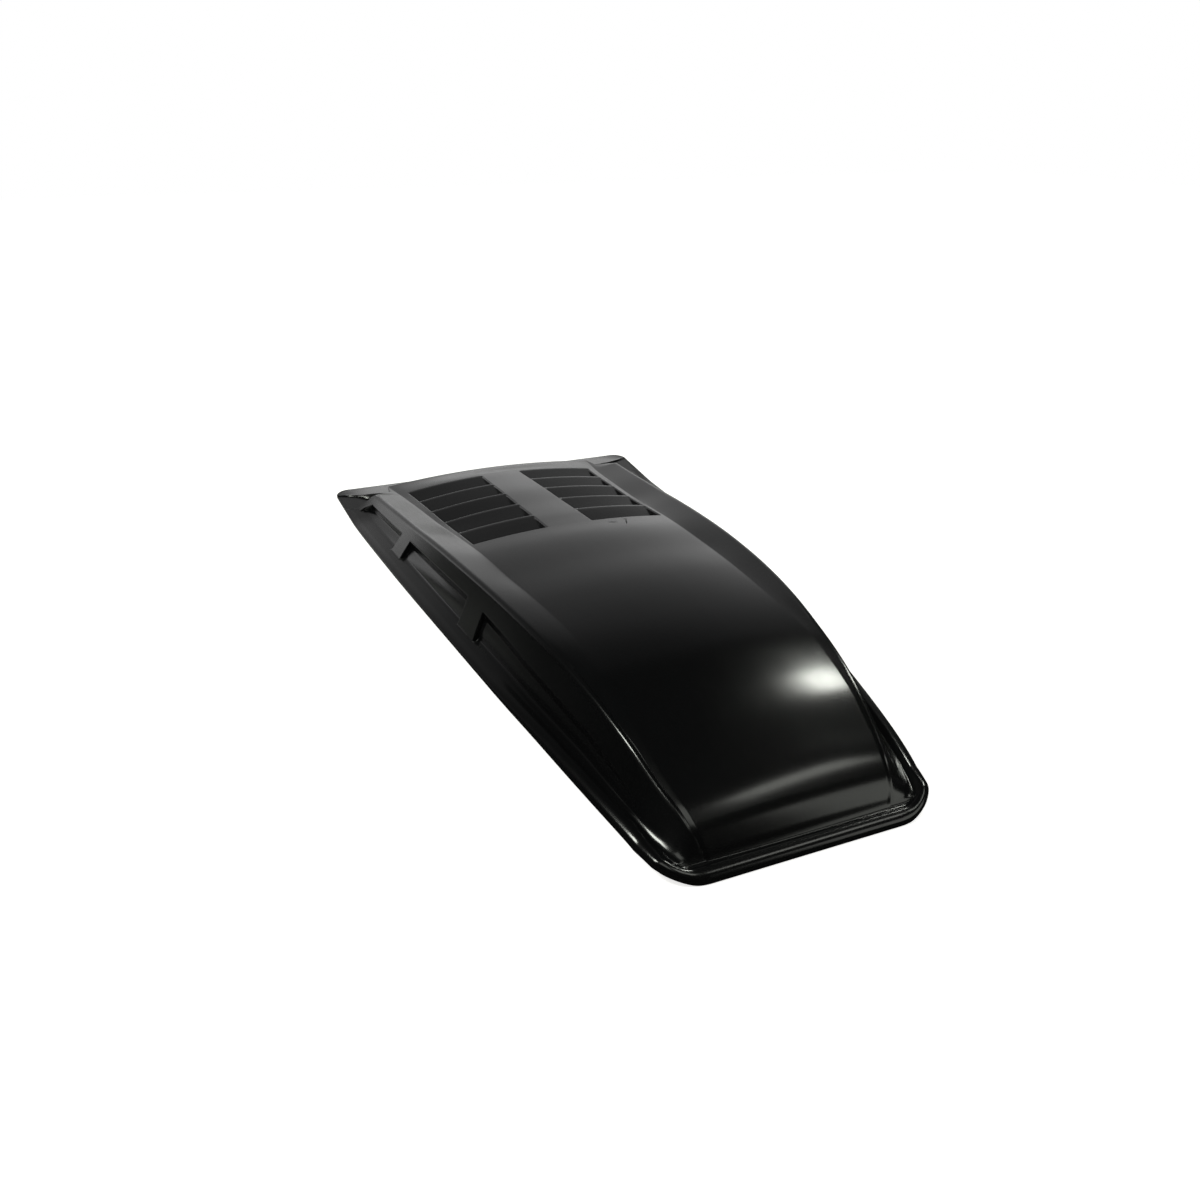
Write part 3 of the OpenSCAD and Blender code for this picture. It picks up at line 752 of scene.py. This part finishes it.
# The floor's colour: plain white-grey for light that falls on it, and the painted light and shade where the
# scoop reflects it.
floor_colour_with_painted_light = n.add("ShaderNodeMix", {"data_type": "RGBA"},
             {0: mirrored, 6: (0.82, 0.81, 0.8, 1), 7: painted_floor_light}, output=2)
matt = n.add("ShaderNodeBsdfDiffuse", {}, {"Color": floor_colour_with_painted_light})
spread = n.add("ShaderNodeVectorMath", {"operation": "LENGTH"}, {0: ground}, output=1)
far = n.add("ShaderNodeMapRange", {}, {0: spread, 1: 1.2, 2: 3.5, 3: 0.8, 4: 1.0})
glow = n.add("ShaderNodeEmission", {}, {"Color": (1, 0.995, 0.985, 1), "Strength": seen * far})
both = n.add("ShaderNodeAddShader", {}, {0: matt, 1: glow})
n.add("ShaderNodeOutputMaterial", {}, {"Surface": both})
floor_mesh.materials.append(paper)

world = bpy.data.worlds.new("studio")
bpy.context.scene.world = world
world.use_nodes = True
n = Nodes(world.node_tree)
aim = n.add("ShaderNodeTexCoord", output="Generated")
right, back, high = (n.add("ShaderNodeSeparateXYZ", {}, {0: aim}, output=i) for i in range(3))
turn = right.math("ARCTAN2", back) / (2 * pi) + 0.5
wall_side = n.add("ShaderNodeValToRGB", {"stops": [
    (0.0, 0.0), (0.36, 0.0), (0.378, 0.2), (0.4, 0.6), (0.445, 0.85), (0.5, 1.0), (0.6, 1.0),
    (0.63, 0.5), (0.66, 0.05), (1.0, 0.0)]}, {0: turn})
wall_high = n.add("ShaderNodeValToRGB", {"stops": [
    (0.0, 1.2), (0.05, 1.08), (0.1, 0.8), (0.15, 0.5), (0.21, 0.36), (0.3, 0.27), (0.4, 0.2),
    (0.52, 0.13), (0.62, 0.05), (0.8, 0.0)]}, {0: high})
room = n.add("ShaderNodeMix", {"data_type": "RGBA", "blend_type": "MULTIPLY"},
             {0: 1.0, 6: wall_side, 7: wall_high}, output=2)
seen = n.add("ShaderNodeLightPath", output="Is Camera Ray")
shade = n.add("ShaderNodeMix", {"data_type": "RGBA"}, {0: seen, 6: room, 7: (1, 1, 1, 1)}, output=2)
backdrop = n.add("ShaderNodeBackground", {}, {"Color": shade, "Strength": 1.0})
n.add("ShaderNodeOutputWorld", {}, {"Surface": backdrop})


# Lamps, each placed by its bearing from the rear axis, its height angle and its distance, and
# given the brightness of its face: the small one makes the highlight on the dome.
def soft_lamp(name, bearing, rise, distance, wide, tall, brightness, roll=0.0):
    data = bpy.data.lights.new(name, "AREA")
    data.shape, data.size, data.size_y = "RECTANGLE", wide, tall
    data.energy = brightness * pi * wide * tall
    data.color = (0.97, 1.0, 0.92)
    lamp = bpy.data.objects.new(name, data)
    a, e = radians(bearing), radians(rise)
    away = Vector((sin(a) * cos(e), cos(a) * cos(e), sin(e)))
    lamp.location = away * distance + Vector((0, -0.25, 0.07))
    lamp.rotation_euler = (away.to_track_quat("Z", "Y") @ Quaternion((0, 0, 1), radians(roll))).to_euler()
    bpy.context.scene.collection.objects.link(lamp)


soft_lamp("lamp_highlight", 68, 45, 2.4, 0.3, 0.28, 34)
soft_lamp("lamp_right", 124, 54, 2.4, 0.95, 0.34, 3.6, -20)
soft_lamp("lamp_low", 139, 13, 2.4, 1.2, 1.2, 1.4)
soft_lamp("lamp_left", -82, 52, 2.4, 0.5, 0.7, 28)
soft_lamp("lamp_front", -158, 60, 2.6, 1.5, 0.9, 1.6)
